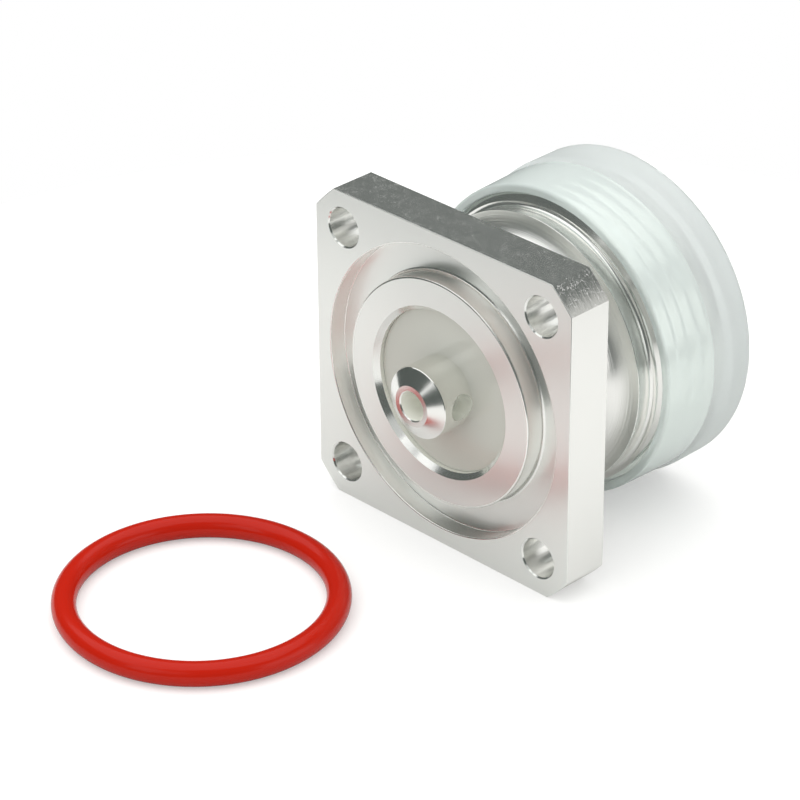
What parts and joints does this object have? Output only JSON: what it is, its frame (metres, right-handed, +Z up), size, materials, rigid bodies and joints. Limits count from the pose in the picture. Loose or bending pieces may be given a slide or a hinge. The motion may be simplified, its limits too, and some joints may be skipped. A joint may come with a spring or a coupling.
{
  "type": "coaxial panel connector",
  "caption": "Square-flange coaxial panel connector with face seal, coned solder contact, threaded mating end and a translucent push-on dust cap.",
  "frame": {"origin": "centre of the flange's mounting face, on the connector's axis", "axes": "+Y along the axis towards the mating end, -Y out of the flange's mounting face, +Z up"},
  "size_m": [0.037, 0.0621, 0.032],
  "materials": {
    "silver_plate": "bright silver plate",
    "contact_plate": "polished silver plate",
    "insulator_plastic": "glossy translucent grey-white",
    "seal_rubber": "satin red silicone",
    "cap_plastic": "soft translucent film-like plastic"
  },
  "bodies": {
    "connector": {"connector_body": "silver_plate", "insulator": "insulator_plastic", "solder_terminal": "contact_plate", "socket_contact": "contact_plate", "o_ring": "seal_rubber"},
    "cap": {"dust_cap": "cap_plastic"}
  },
  "joints": [
    {"name": "cap_pull", "type": "slide", "parent": "connector", "child": "cap", "axis": [0, 1, 0], "range_m": [0, 0.025]}
  ]
}
